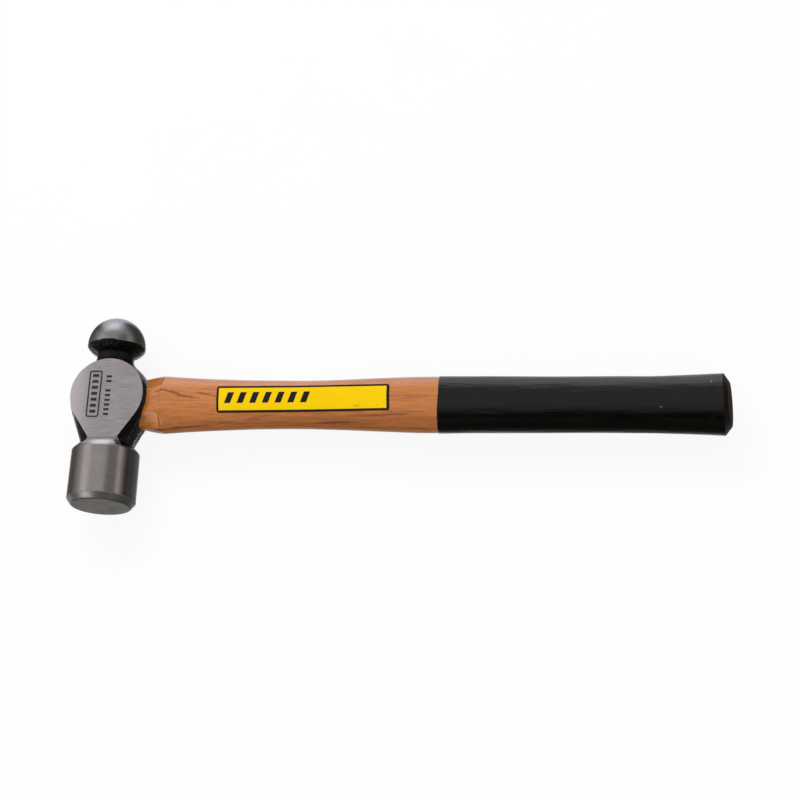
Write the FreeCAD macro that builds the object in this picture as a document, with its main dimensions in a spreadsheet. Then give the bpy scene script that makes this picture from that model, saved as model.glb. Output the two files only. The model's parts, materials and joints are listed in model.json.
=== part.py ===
import FreeCAD, Part
import Sketcher
import math
import os

# Ball peen hammer: a forged steel head, wedged on an oval hickory handle whose grip is dipped in
# black lacquer.  Everything is drawn about the centre of the eye, in millimetres:
#   +X runs along the handle to its butt, +Y along the head from the striking face to the ball,
#   +Z out of the upper cheek.
# Each finished piece is then moved so that the origin is under the middle of the hammer as it
# lies on its side: the centre of the bounding box in X and Y, and its bottom in Z.

DIMENSIONS = [
    # The head's turned parts.  Their axis is parallel to Y.
    ("turned_offset", -0.6, "how far that axis is from the eye's centre, towards the handle"),
    ("poll_radius", 15.4, "radius of the poll, at its face chamfer"),
    ("shoulder_radius", 15.2, "radius of the poll at its shoulder"),
    ("face_radius", 13.3, "radius of the flat striking face, inside its chamfer"),
    ("face_y", -47.4, "plane of the striking face"),
    ("chamfer_y", -44.6, "where the face chamfer meets the poll"),
    ("shoulder_y", -22.6, "plane of the poll's shoulder"),
    ("neck_y", -18.8, "end of the neck, at the foot of the shoulder"),
    ("neck_radius", 11.6, "radius of the neck behind the poll"),
    ("swell_y", -5.0, "where the neck's cone meets the round of the body"),
    ("swell_radius", 16.9, "radius of the neck's cone there"),
    ("core_y", 15.4, "where the ball neck's flare enters the body"),
    ("core_radius", 11.7, "radius of the flare there"),
    ("ball_neck_y", 18.9, "lower end of the ball's neck"),
    ("ball_neck_radius", 9.2, "radius at the lower end of the ball's neck"),
    ("ball_root_y", 23.3, "where the neck meets the underside of the ball"),
    ("ball_root_radius", 8.6, "radius there"),
    ("ball_neck_fillet", 4.8, "radius of the hollow of the ball's neck"),
    ("ball_band_y", 26.7, "lower edge of the band under the ball"),
    ("ball_underside_curve", 7.7, "radius of the rounded underside of the ball"),
    ("ball_centre_y", 27.7, "centre of the ball's hemisphere"),
    ("ball_radius", 13.0, "radius of the ball"),
    ("poll_round", 0.5, "rounding of the poll's edge with the chamfer"),
    ("face_round", 1.4, "rounding of the striking face's edge with the chamfer"),
    ("shoulder_round", 1.6, "rounding of the poll's shoulder"),
    ("neck_round", 2.5, "hollow at the foot of the shoulder"),
    ("rim_round", 0.9, "rounding of the ball's rim"),
    # The body round the eye, and its ground cheeks.
    ("body_centre_y", 1.8, "centre of the round body"),
    ("body_radius", 18.2, "radius of the body on its middle plane"),
    ("body_waist_y", -18.0, "where the body's sides stop drawing in"),
    ("body_waist", 11.5, "half width of the body there, on the middle plane"),
    ("body_foot_y", -19.6, "end of the body, inside the shoulder"),
    ("flank_level", 6.5, "distance from the middle plane to where the sides start to curve in"),
    ("flank_radius", 17.8, "radius of the body there"),
    ("flank_waist", 10.2, "half width of the body's waist there"),
    ("cheek_radius", 16.7, "radius of the round part of each flat cheek"),
    ("cheek_offset", 0.3, "how far the cheeks' centre is from the head's axis, towards the handle"),
    ("cheek_waist", 6.8, "half width of a cheek at its narrow end"),
    ("cheek_half_thickness", 10.6, "distance from the middle plane to each cheek"),
    ("cheek_end_y", 21.6, "end of the ground cheeks, past the round of the body"),
    ("flare_y", -18.2, "where a cheek starts to sweep up to the poll"),
    ("flare_radius", 4.85, "radius of that sweep"),
    # The eye, an oval that is narrowest in the middle.
    ("eye_reach", 19.5, "half length of the eye's form, past both sides of the head"),
    ("mouth_half_height", 11.1, "half height of the eye on the handle's side"),
    ("mouth_half_width", 6.4, "half width there"),
    ("throat_half_height", 10.6, "half height in the middle of the eye"),
    ("throat_half_width", 6.0, "half width there"),
    ("far_half_height", 11.4, "half height on the wedged side"),
    ("far_half_width", 7.2, "half width there"),
    # The handle: stations along X, each an oval with a half height in Y and a half thickness in Z.
    ("entry_x", 13.1, "the taper's small end, inside the mouth of the eye"),
    ("entry_height", 11.6, ""),
    ("entry_thickness", 6.8, ""),
    ("shoulder_x", 24.0, "the widest part, beside the head"),
    ("shoulder_height", 13.2, ""),
    ("shoulder_thickness", 9.2, ""),
    ("throat_x", 41.3, "behind the shoulder"),
    ("throat_height", 11.95, ""),
    ("throat_thickness", 9.1, ""),
    ("slim_x", 62.5, "start of the slim part"),
    ("slim_height", 11.05, ""),
    ("slim_thickness", 8.8, ""),
    ("waist_x", 87.0, "the slimmest part"),
    ("waist_height", 10.7, ""),
    ("waist_thickness", 8.7, ""),
    ("swelling_x", 117.0, "where the grip starts to swell"),
    ("swelling_height", 11.7, ""),
    ("swelling_thickness", 9.3, ""),
    ("dip_x", 148.9, "edge of the black grip"),
    ("dip_height", 12.6, ""),
    ("dip_thickness", 9.9, ""),
    ("palm_x", 197.0, "the palm"),
    ("palm_height", 12.35, ""),
    ("palm_thickness", 9.9, ""),
    ("heel_x", 238.7, "the slim place before the butt"),
    ("heel_height", 12.4, ""),
    ("heel_thickness", 9.9, ""),
    ("butt_x", 272.4, "the swell of the butt, at its chamfer"),
    ("butt_height", 13.4, ""),
    ("butt_thickness", 10.7, ""),
    ("end_x", 275.4, "end face of the butt"),
    ("end_height", 10.0, ""),
    ("end_thickness", 7.4, ""),
    # What is on the handle and in its end.
    ("coating_thickness", 0.2, "thickness of the black lacquer"),
    ("label_thickness", 0.12, "thickness of the label"),
    ("label_x", 50.5, "the label's edge nearer the head"),
    ("label_length", 77.5, ""),
    ("label_width", 12.3, ""),
    ("label_start_y", -0.1, "middle of that edge"),
    ("label_turn", 0.6, "degrees that the label is out of line with the handle"),
    ("kerf_depth", 16.0, "depth of the wooden wedge, from the side of the head"),
    ("kerf_mouth", 2.6, "thickness of the wooden wedge where it enters"),
    ("kerf_tip", 0.8, "thickness at its tip"),
    ("steel_wedge_depth", 12.5, "depth of each steel wedge"),
    ("steel_wedge_mouth", 2.2, "thickness of a steel wedge where it enters"),
    ("steel_wedge_tip", 0.5, "thickness at its tip"),
    ("steel_wedge_width", 9.0, "width of a steel wedge across the eye"),
    ("steel_wedge_spacing", 9.6, "distance between the two steel wedges"),
]

# Turns a shape so that its X, Y and Z run along the hammer's Y, Z and X.
FACING_X = FreeCAD.Rotation(FreeCAD.Vector(1, 1, 1), 120)

doc = FreeCAD.newDocument("ball_peen_hammer")


def make_sheet():
    """Write the driving dimensions into a spreadsheet, one alias a row."""
    dims = doc.addObject("Spreadsheet::Sheet", "dims")
    for row, (alias, value, note) in enumerate(DIMENSIONS, start=1):
        dims.set(f"A{row}", alias)
        dims.set(f"B{row}", str(value))
        dims.setAlias(f"B{row}", alias)
        dims.set(f"C{row}", note)
    doc.recompute()
    return dims


sheet = make_sheet()


def number(expression):
    """The present value of an expression in the sheet's aliases."""
    return float(sheet.evalExpression(expression))


def bind(item, **expressions):
    """Bind properties of an object to expressions in the sheet's aliases."""
    for name, expression in expressions.items():
        item.setExpression(name.replace("__", "."), expression)


# ---------------------------------------------------------------- sketches


LEFT = 1
RIGHT = -1


def arc_between(start, end, radius, turn, past_half):
    """An arc from start to end that turns left or right, and goes past half a circle or not."""
    chord = end - start
    left = FreeCAD.Vector(-chord.y, chord.x, 0).normalize()
    rise = math.sqrt(radius * radius - chord.Length ** 2 / 4)
    centre = (start + end) * 0.5 + left * (-rise * turn if past_half else rise * turn)
    first, last = (start, end) if turn == LEFT else (end, start)
    circle = Part.Circle(centre, FreeCAD.Vector(0, 0, 1), radius)
    angles = [math.atan2(point.y - centre.y, point.x - centre.x) for point in (first, last)]
    return Part.ArcOfCircle(circle, angles[0], angles[1])


def outline(body, plane, name, corners, arcs):
    """A closed sketch on one of the body's own planes, with every corner held by the sheet.

    corners holds pairs of expressions.  arcs gives, for the edge that leaves a corner, its radius
    as an expression, the side that it turns to, and whether it goes past half a circle.
    """
    sketch = body.newObject("Sketcher::SketchObject", name)
    support = [item for item in body.Origin.OriginFeatures if item.Role == plane][0]
    sketch.AttachmentSupport = [(support, "")]
    sketch.MapMode = "FlatFace"
    points = [FreeCAD.Vector(number(x), number(y), 0) for x, y in corners]
    for index, start in enumerate(points):
        end = points[(index + 1) % len(points)]
        if index in arcs:
            radius, turn, past_half = arcs[index]
            sketch.addGeometry(arc_between(start, end, number(radius), turn, past_half), False)
        else:
            sketch.addGeometry(Part.LineSegment(start, end), False)

    def end_of(index, leaving):
        # An arc that turns right is stored backwards, so its two ends change places.
        backwards = index in arcs and arcs[index][1] == RIGHT
        return 1 if leaving != backwards else 2

    for index, (x, y) in enumerate(corners):
        before = (index - 1) % len(corners)
        sketch.addConstraint(Sketcher.Constraint(
            "Coincident", before, end_of(before, False), index, end_of(index, True)))
        for kind, axis, expression in (("DistanceX", "x", x), ("DistanceY", "y", y)):
            place = Sketcher.Constraint(kind, -1, 1, index, end_of(index, True), number(expression))
            held = sketch.addConstraint(place)
            sketch.renameConstraint(held, f"{axis}{index}")
            sketch.setExpression(f"Constraints.{axis}{index}", expression)
        if index in arcs:
            radius = arcs[index][0]
            held = sketch.addConstraint(Sketcher.Constraint("Radius", index, number(radius)))
            sketch.renameConstraint(held, f"radius{index}")
            sketch.setExpression(f"Constraints.radius{index}", radius)
    return sketch


# ---------------------------------------------------------------- head


def turned_profile(body):
    """Half of the head's outline, from the ball's crown round to the striking face."""
    corners = [
        ("0", "dims.ball_centre_y + dims.ball_radius"),
        ("0", "dims.face_y"),
        ("dims.face_radius", "dims.face_y"),
        ("dims.poll_radius", "dims.chamfer_y"),
        ("dims.shoulder_radius", "dims.shoulder_y"),
        ("dims.neck_radius", "dims.neck_y"),
        ("dims.swell_radius", "dims.swell_y"),
        ("dims.core_radius", "dims.core_y"),
        ("dims.ball_neck_radius", "dims.ball_neck_y"),
        ("dims.ball_root_radius", "dims.ball_root_y"),
        ("dims.ball_radius", "dims.ball_band_y"),
        ("dims.ball_radius", "dims.ball_centre_y"),
    ]
    arcs = {
        8: ("dims.ball_neck_fillet", RIGHT, False),
        9: ("dims.ball_underside_curve", LEFT, False),
        11: ("dims.ball_radius", LEFT, False),
    }
    sketch = outline(body, "XY_Plane", "turned_profile", corners, arcs)
    sketch.setExpression("AttachmentOffset.Base.x", "dims.turned_offset")
    return sketch


def edges_where(feature, wanted):
    """The names of the feature's edges that the test picks."""
    edges = enumerate(feature.Shape.Edges, start=1)
    return [f"Edge{index}" for index, edge in edges if wanted(edge)]


def rounded_ring(body, name, base, radius, y, rounding):
    """A fillet on the full circle of this radius round the head's axis, at this place along it."""

    def is_ring(edge):
        box = edge.BoundBox
        in_place = abs(box.Center.y - number(y)) < 0.01
        return in_place and abs(box.XLength / 2 - number(radius)) < 0.01

    fillet = body.newObject("PartDesign::Fillet", name)
    fillet.Base = (base, edges_where(base, is_ring))
    fillet.setExpression("Radius", rounding)
    doc.recompute()
    return fillet


def body_outline(body, name, level, centre_x, radius, waist):
    """One level of the body: a round whose sides run on as tangents to a waist and a straight foot.

    The tangent from the waist's corner touches the round where the line from the round's centre
    is at the angle between its own direction and the corner's.
    """
    corner_x = number(waist)
    corner_y = number("dims.body_waist_y - dims.body_centre_y")
    reach = math.hypot(corner_x, corner_y)
    touch = math.atan2(corner_y, corner_x) + math.acos(number(radius) / reach)
    across = f"{radius} * {math.cos(touch):.9f}"
    along = f"dims.body_centre_y + {radius} * {math.sin(touch):.9f}"
    corners = [
        (f"{centre_x} - {waist}", "dims.body_foot_y"),
        (f"{centre_x} + {waist}", "dims.body_foot_y"),
        (f"{centre_x} + {waist}", "dims.body_waist_y"),
        (f"{centre_x} + {across}", along),
        (f"{centre_x} - {across}", along),
        (f"{centre_x} - {waist}", "dims.body_waist_y"),
    ]
    sketch = outline(body, "XY_Plane", name, corners, {3: (radius, LEFT, True)})
    sketch.setExpression("AttachmentOffset.Base.z", level)
    return sketch


def make_forging():
    """The head before its eye is made: turned parts, drafted body and ground cheeks."""
    body = doc.addObject("PartDesign::Body", "head_forging")
    profile = turned_profile(body)
    turned = body.newObject("PartDesign::Revolution", "turned")
    turned.Profile = profile
    turned.ReferenceAxis = (profile, ["V_Axis"])
    turned.Angle = 360
    doc.recompute()
    rings = [
        ("face_edge", "dims.face_radius", "dims.face_y", "dims.face_round"),
        ("poll_edge", "dims.poll_radius", "dims.chamfer_y", "dims.poll_round"),
        ("shoulder", "dims.shoulder_radius", "dims.shoulder_y", "dims.shoulder_round"),
        ("neck_foot", "dims.neck_radius", "dims.neck_y", "dims.neck_round"),
        ("ball_rim", "dims.ball_radius", "dims.ball_band_y", "dims.rim_round"),
    ]
    last = turned
    for name, radius, place, rounding in rings:
        last = rounded_ring(body, name, last, radius, place, rounding)

    half = "dims.cheek_half_thickness"
    cheek = ("dims.cheek_offset", "dims.cheek_radius", "dims.cheek_waist")
    flank = ("dims.cheek_offset / 2", "dims.flank_radius", "dims.flank_waist")
    levels = [
        body_outline(body, "lower_cheek", f"-{half}", *cheek),
        body_outline(body, "lower_flank", "-dims.flank_level", *flank),
        body_outline(body, "parting_plane", "0", "0", "dims.body_radius", "dims.body_waist"),
        body_outline(body, "upper_flank", "dims.flank_level", *flank),
        body_outline(body, "upper_cheek", half, *cheek),
    ]
    drafted = body.newObject("PartDesign::AdditiveLoft", "drafted_body")
    drafted.Profile = levels[0]
    drafted.Sections = [(level, [""]) for level in levels[1:]]
    drafted.Ruled = True
    doc.recompute()

    # Each cheek is ground flat, and sweeps up to the poll in a hollow curve.
    reach = "dims.poll_radius + 4"
    for side, sign in (("upper", "1"), ("lower", "-1")):
        corners = [
            ("dims.cheek_end_y", f"{sign} * {half}"),
            ("dims.flare_y", f"{sign} * {half}"),
            ("dims.flare_y - dims.flare_radius", f"{sign} * ({half} + dims.flare_radius)"),
            ("dims.flare_y - dims.flare_radius", f"{sign} * ({reach})"),
            ("dims.cheek_end_y", f"{sign} * ({reach})"),
        ]
        turn = RIGHT if side == "upper" else LEFT
        sketch = outline(body, "YZ_Plane", f"{side}_grinding", corners,
                         {1: ("dims.flare_radius", turn, False)})
        ground = body.newObject("PartDesign::Pocket", f"{side}_ground")
        ground.Profile = sketch
        ground.Midplane = True
        ground.setExpression("Length", "4 * dims.body_radius")
        before = body.Shape.Volume
        doc.recompute()
        if ground.Shape.Volume > before - 1:
            raise RuntimeError(f"the {side} cheek was not ground")
    return body


# ---------------------------------------------------------------- ovals and lofts


def oval(name, place, height, thickness):
    """An oval across the handle: half height along Y and half thickness along Z."""
    ring = doc.addObject("Part::Ellipse", name)
    ring.Placement.Rotation = FACING_X
    bind(ring, Placement__Base__x=place, MajorRadius=height, MinorRadius=thickness)
    return ring


def oval_loft(name, rings, ruled):
    """A solid through a row of ovals."""
    loft = doc.addObject("Part::Loft", name)
    loft.Sections = rings
    loft.Solid = True
    loft.Ruled = ruled
    return loft


def joined(name, shapes):
    """One solid from several that touch or overlap."""
    fused = doc.addObject("Part::MultiFuse", name)
    fused.Shapes = shapes
    return fused


def cut(name, base, tool):
    """What is left of the base outside the tool."""
    result = doc.addObject("Part::Cut", name)
    result.Base = base
    result.Tool = tool
    return result


def shared(name, base, tool):
    """What two solids have in common."""
    result = doc.addObject("Part::Common", name)
    result.Base = base
    result.Tool = tool
    return result


def make_eye():
    """The eye as a solid: an oval through the head, waisted in the middle and widest at the wedges."""
    rings = [
        oval("eye_far_side", "-dims.eye_reach", "dims.far_half_height", "dims.far_half_width"),
        oval("eye_throat", "0", "dims.throat_half_height", "dims.throat_half_width"),
        oval("eye_mouth", "dims.eye_reach", "dims.mouth_half_height", "dims.mouth_half_width"),
    ]
    return oval_loft("eye_form", rings, False)


SHANK = ["shoulder", "throat", "slim", "waist", "swelling", "dip", "palm", "heel", "butt"]


def make_stick(name, growth):
    """The whole handle outside the eye, with its surface moved out by the growth."""

    def ring(station):
        return oval(f"{name}_{station}", f"dims.{station}_x", f"dims.{station}_height + {growth}",
                    f"dims.{station}_thickness + {growth}")

    rings = {station: ring(station) for station in ["entry"] + SHANK + ["end"]}
    taper = oval_loft(f"{name}_taper", [rings["entry"], rings["shoulder"]], True)
    shank = oval_loft(f"{name}_shank", [rings[station] for station in SHANK], False)
    chamfer = oval_loft(f"{name}_chamfer", [rings["butt"], rings["end"]], True)
    return joined(name, [taper, shank, chamfer])


# ---------------------------------------------------------------- wedges


def wedge(name, depth, width, mouth, tip, flat):
    """A tapered wedge that points along +X, from outside the head to its depth under the side.

    flat wedges lie on the middle plane and are wide along Y; the others stand across it.
    """
    blank = doc.addObject("Part::Wedge", name)
    # The wedge's own Y runs from its thick end to its tip, and its own X is its thickness.
    slope = f"(({mouth}) - ({tip})) / ({depth})"
    outside = f"(({mouth}) + {slope} * (dims.eye_reach - dims.body_radius))"
    bind(blank, Xmin=f"-{outside} / 2", Xmax=f"{outside} / 2",
         X2min=f"-({tip}) / 2", X2max=f"({tip}) / 2",
         Ymin="-dims.eye_reach", Ymax=f"-dims.body_radius + {depth}",
         Zmin=f"-({width}) / 2", Zmax=f"({width}) / 2",
         Z2min=f"-({width}) / 2", Z2max=f"({width}) / 2")
    # A quarter turn about Z sends the wedge's Y along -X; the second turn tips a flat wedge over.
    upright = FreeCAD.Rotation(FreeCAD.Vector(0, 0, 1), -90)
    over = FreeCAD.Rotation(FreeCAD.Vector(1, 0, 0), 90)
    blank.Placement.Rotation = over.multiply(upright) if flat else upright
    return blank


# ---------------------------------------------------------------- assembly


def make_pieces():
    """Every finished piece of the hammer, in the eye's frame."""
    forging = make_forging()
    eye = make_eye()
    head = cut("hammer_head", forging, eye)

    stick = make_stick("stick", "0")
    outer = cut("stick_outside_head", stick, forging)
    tenon = shared("tenon", eye, forging)

    wood_blank = wedge("kerf", "dims.kerf_depth", "2 * dims.eye_reach", "dims.kerf_mouth",
                       "dims.kerf_tip", True)
    steel_blanks, steel_wedges = [], []
    for name, side in (("steel_wedge_ball_side", 1), ("steel_wedge_face_side", -1)):
        blank = wedge(f"{name}_blank", "dims.steel_wedge_depth", "dims.steel_wedge_width",
                      "dims.steel_wedge_mouth", "dims.steel_wedge_tip", False)
        bind(blank, Placement__Base__y=f"{side} * dims.steel_wedge_spacing / 2")
        steel_blanks.append(blank)
        steel_wedges.append(shared(name, blank, forging))
    # The wood is cut by the wedges' blanks, which stand clear of the side of the head.
    wood_in_eye = shared("wood_in_eye", wood_blank, tenon)
    steel = joined("steel_blanks", steel_blanks)
    wooden_wedge = cut("wooden_wedge", wood_in_eye, steel)

    wooden = joined("wooden_blank", [outer, tenon])
    wedges = joined("all_blanks", [wood_blank] + steel_blanks)
    handle = cut("handle", wooden, wedges)

    coat = make_stick("coat", "dims.coating_thickness")
    dipped = doc.addObject("Part::Box", "dipped_length")
    bind(dipped, Placement__Base__x="dims.dip_x", Placement__Base__y="-2 * dims.poll_radius",
         Placement__Base__z="-2 * dims.poll_radius", Length="dims.end_x - dims.dip_x",
         Width="4 * dims.poll_radius", Height="4 * dims.poll_radius")
    coating = cut("grip_coating", shared("coat_on_grip", coat, dipped), stick)

    film = make_stick("film", "dims.label_thickness")
    patch = doc.addObject("Part::Box", "label_patch")
    patch.Placement.Rotation = FreeCAD.Rotation(FreeCAD.Vector(0, 0, 1), number("dims.label_turn"))
    bind(patch, Placement__Base__x="dims.label_x",
         Placement__Base__y="dims.label_start_y - dims.label_width / 2",
         Length="dims.label_length", Width="dims.label_width", Height="dims.poll_radius")
    label = cut("label", shared("film_under_patch", film, patch), stick)

    return [head, handle, wooden_wedge] + steel_wedges + [coating, label]


def lay_down(piece):
    """Move a piece from the eye's frame to the hammer's own frame, and name it."""
    piece.Label = piece.Name
    bind(piece,
         Placement__Base__x="-(dims.end_x - dims.body_radius) / 2",
         Placement__Base__y="-(dims.face_y + dims.ball_centre_y + dims.ball_radius) / 2",
         Placement__Base__z="dims.poll_radius")


def check():
    """Stop if any object of the document failed."""
    for item in doc.Objects:
        if "Invalid" in item.State or "Error" in item.State:
            raise RuntimeError(f"{item.Name} failed: {item.State}")


pieces = make_pieces()
doc.recompute()
check()
for finished in pieces:
    lay_down(finished)
doc.recompute()
check()

os.makedirs("parts", exist_ok=True)
for finished in pieces:
    shape = finished.Shape
    if shape.isNull() or not shape.isValid():
        raise RuntimeError(f"{finished.Label} has no valid shape")
    shape.exportStep(f"parts/{finished.Label}.step")
    print(f"{finished.Label}: {len(shape.Solids)} solid, {shape.Volume:.1f} mm3, {shape.BoundBox}")
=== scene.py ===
"""Ball peen hammer: detailed pieces, materials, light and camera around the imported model."""
import json
import math

import bpy
import numpy as np
from mathutils import Matrix, Vector


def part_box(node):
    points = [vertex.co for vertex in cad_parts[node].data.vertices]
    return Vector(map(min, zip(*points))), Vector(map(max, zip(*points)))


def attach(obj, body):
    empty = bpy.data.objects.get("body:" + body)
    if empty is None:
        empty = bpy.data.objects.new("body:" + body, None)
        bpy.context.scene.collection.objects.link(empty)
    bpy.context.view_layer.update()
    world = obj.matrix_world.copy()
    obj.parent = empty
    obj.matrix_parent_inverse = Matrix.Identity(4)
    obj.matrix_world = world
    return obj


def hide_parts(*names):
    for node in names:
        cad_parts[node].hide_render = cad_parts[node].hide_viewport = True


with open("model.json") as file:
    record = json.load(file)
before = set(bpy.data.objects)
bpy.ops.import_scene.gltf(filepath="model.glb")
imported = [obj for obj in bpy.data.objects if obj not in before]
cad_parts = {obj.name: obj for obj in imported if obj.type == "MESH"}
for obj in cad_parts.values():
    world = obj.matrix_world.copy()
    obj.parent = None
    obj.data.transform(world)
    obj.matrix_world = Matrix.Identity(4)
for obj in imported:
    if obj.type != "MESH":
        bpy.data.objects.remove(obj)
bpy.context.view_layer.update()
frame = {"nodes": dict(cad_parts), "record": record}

MM = 0.001
MOUNTS = {m["name"]: Vector(m["pos_m"]) for m in frame["record"]["mounts"]}
HEAD_LOW, HEAD_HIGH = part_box("hammer_head")
# The poll's radius, the unit of the handle's shape
R = (HEAD_HIGH.z - HEAD_LOW.z) / 2
# The middle of the eye, from which places are measured
EYE = Vector((MOUNTS["cheek_upper"].x, MOUNTS["cheek_upper"].y, MOUNTS["striking_face"].z))
CHEEK = MOUNTS["cheek_upper"].z - EYE.z
DIP_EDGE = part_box("grip_coating")[0].x - EYE.x
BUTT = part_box("handle")[1].x - EYE.x

# Each cheek sweeps up to the poll on an arc: where it starts and its radius, in mm.
FLARE_Y, FLARE_RADIUS = -18.2, 4.85
# The middle of the sweep, where its painted highlight is brightest, a little nearer the handle than
# the poll's axis
SWEEP_X = EYE.x + 0.6 * MM
# Where the polish of the ball begins
BALL_RIM = EYE.y + 27.1 * MM


# ---------------------------------------------------------------- node helpers


class Tree:
    """Short calls for building a node tree."""

    def __init__(self, owner):
        owner.use_nodes = True
        self.tree = owner.node_tree
        self.tree.nodes.clear()

    def add(self, kind, inputs=None, **settings):
        node = self.tree.nodes.new("ShaderNode" + kind)
        for key, value in settings.items():
            setattr(node, key, value)
        for key, value in (inputs or {}).items():
            self.put(node.inputs[key], value)
        return node

    def put(self, socket, value):
        if isinstance(value, bpy.types.Node):
            value = next(s for s in value.outputs if s.enabled)
        if isinstance(value, bpy.types.NodeSocket):
            self.tree.links.new(value, socket)
        else:
            socket.default_value = value

    def math(self, operation, *values):
        node = self.add("Math", operation=operation)
        for socket, value in zip(node.inputs, values):
            self.put(socket, value)
        return node

    def vector(self, operation, *values):
        node = self.add("VectorMath", operation=operation)
        for socket, value in zip(node.inputs, values):
            self.put(socket, value)
        return node.outputs["Vector"]

    def scaled(self, vector, factor):
        node = self.add("VectorMath", {"Vector": vector, "Scale": factor}, operation="SCALE")
        return node.outputs["Vector"]

    def smooth(self, value, low, high, to_low=0.0, to_high=1.0):
        """Goes gently from to_low to to_high as the value goes from low to high."""
        return self.add(
            "MapRange",
            {"Value": value, "From Min": low, "From Max": high, "To Min": to_low, "To Max": to_high},
            interpolation_type="SMOOTHSTEP",
        )

    def spread(self, value, low, high):
        """Turns a value between 0 and 1 into one between low and high."""
        return self.add("MapRange", {"Value": value, "To Min": low, "To Max": high})

    def mix(self, factor, a, b):
        """A mixture of two colours. The node's colour sockets are inputs 6 and 7 and output 2."""
        node = self.add("Mix", data_type="RGBA", clamp_factor=True)
        self.put(node.inputs["Factor"], factor)
        self.put(node.inputs[6], a)
        self.put(node.inputs[7], b)
        return node.outputs[2]

    def spot(self):
        """The three coordinates of the shaded point, in metres."""
        here = self.add("TexCoord").outputs["Object"]
        return self.add("SeparateXYZ", {"Vector": here}).outputs

    def place(self, scale, shift=(0, 0, 0)):
        """The shaded point, scaled so that noise has that many waves to the metre along each axis."""
        here = self.add("TexCoord").outputs["Object"]
        mapping = self.add("Mapping", {"Vector": here, "Scale": scale, "Location": shift})
        return mapping.outputs["Vector"]

    def noise(self, where, detail, roughness=0.5, distortion=0.0):
        return self.add(
            "TexNoise",
            {
                "Vector": where,
                "Scale": 1.0,
                "Detail": detail,
                "Roughness": roughness,
                "Distortion": distortion,
            },
        ).outputs["Fac"]

    def ramp(self, value, *stops):
        node = self.add("ValToRGB", {"Fac": value})
        band = node.color_ramp
        while len(band.elements) < len(stops):
            band.elements.new(0.5)
        for element, (at, colour) in zip(band.elements, stops):
            element.position = at
            element.color = (*colour, 1)
        return node.outputs["Color"]

    def bump(self, height, distance, strength=1.0, normal=None):
        inputs = {"Height": height, "Distance": distance, "Strength": strength}
        if normal is not None:
            inputs["Normal"] = normal
        return self.add("Bump", inputs).outputs["Normal"]

    def surface(self, **inputs):
        named = {k.replace("_", " "): v for k, v in inputs.items()}
        shader = self.add("BsdfPrincipled", named)
        self.add("OutputMaterial", {"Surface": shader})


def grey(value):
    return (value, value, value, 1)


def material(name):
    made = bpy.data.materials.new(name)
    return made, Tree(made)


# ---------------------------------------------------------------- materials


def ground_steel():
    """Flat cheeks: fine straight grinding lines along the handle's direction."""
    made, t = material("ground_steel")
    lines = t.noise(t.place((130, 3400, 500)), 5, 0.7)
    broad = t.noise(t.place((40, 260, 100)), 3)
    blotch = t.noise(t.place((140, 140, 140)), 3)
    colour = t.mix(t.smooth(lines, 0.28, 0.72), (0.46, 0.42, 0.415, 1), (0.86, 0.80, 0.795, 1))
    colour = t.mix(t.smooth(broad, 0.3, 0.7, 0.0, 0.35), colour, (0.52, 0.475, 0.47, 1))
    colour = t.mix(t.smooth(blotch, 0.45, 0.8, 0.0, 0.3), colour, (0.80, 0.745, 0.73, 1))
    x, y, _ = t.spot()
    # painted highlight: the cheek is made lighter towards its end away from the handle
    shiny = t.smooth(x, EYE.x - 16 * MM, EYE.x - 5 * MM, 0.95, 0.0)
    colour = t.mix(shiny, colour, (0.98, 0.91, 0.90, 1))
    # the sweep up to the poll, with a painted highlight that is brightest at its top and in its
    # middle
    swept = t.math("SUBTRACT", EYE.y + FLARE_Y * MM, y)
    beside = t.math("ABSOLUTE", t.math("SUBTRACT", x, SWEEP_X))
    middle = t.smooth(beside, 1.5 * MM, 7.0 * MM, 1.0, 0.0)
    painted_highlight = t.math("MULTIPLY", t.smooth(swept, 0.5 * MM, 2.0 * MM), middle)
    sweep = t.mix(painted_highlight, (0.40, 0.375, 0.37, 1), (0.80, 0.765, 0.76, 1))
    colour = t.mix(t.smooth(swept, -0.3 * MM, 0.5 * MM), colour, sweep)
    rough = t.spread(lines, 0.33, 0.50)
    t.surface(
        Base_Color=colour,
        Metallic=1.0,
        Roughness=rough,
        Anisotropic=0.75,
        Tangent=t.add("Tangent", direction_type="UV_MAP", uv_map="grind"),
        Normal=t.bump(lines, 0.02 * MM, 0.5),
    )
    return made


def turned_steel():
    """The poll: turned on its axis, so its fine grooves run round it."""
    made, t = material("turned_steel")
    grooves = t.noise(t.place((30, 3600, 30)), 5, 0.7)
    bands = t.noise(t.place((20, 500, 20)), 3)
    wear = t.noise(t.place((260, 120, 260)), 4)
    colour = t.mix(grooves, (0.44, 0.40, 0.38, 1), (0.60, 0.56, 0.54, 1))
    colour = t.mix(t.smooth(bands, 0.35, 0.75, 0.0, 0.3), colour, (0.40, 0.36, 0.345, 1))
    colour = t.mix(t.smooth(wear, 0.45, 0.75, 0.0, 0.35), colour, (0.38, 0.34, 0.32, 1))
    rough = t.spread(grooves, 0.20, 0.34)
    t.surface(
        Base_Color=colour,
        Metallic=1.0,
        Roughness=rough,
        Anisotropic=0.9,
        Tangent=t.add("Tangent", direction_type="UV_MAP", uv_map="grind"),
        Normal=t.bump(grooves, 0.03 * MM, 0.3),
    )
    return made


def face_steel():
    """The striking face and its chamfer: a dull even grind."""
    made, t = material("face_steel")
    grain = t.noise(t.place((1500, 1500, 1500)), 4, 0.6)
    blotch = t.noise(t.place((180, 180, 180)), 4)
    colour = t.mix(grain, (0.56, 0.545, 0.54, 1), (0.68, 0.665, 0.66, 1))
    colour = t.mix(t.smooth(blotch, 0.4, 0.75, 0.0, 0.35), colour, (0.40, 0.38, 0.37, 1))
    rough = t.spread(blotch, 0.36, 0.5)
    t.surface(
        Base_Color=colour,
        Metallic=1.0,
        Roughness=rough,
        Normal=t.bump(grain, 0.03 * MM, 0.4),
    )
    return made


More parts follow.
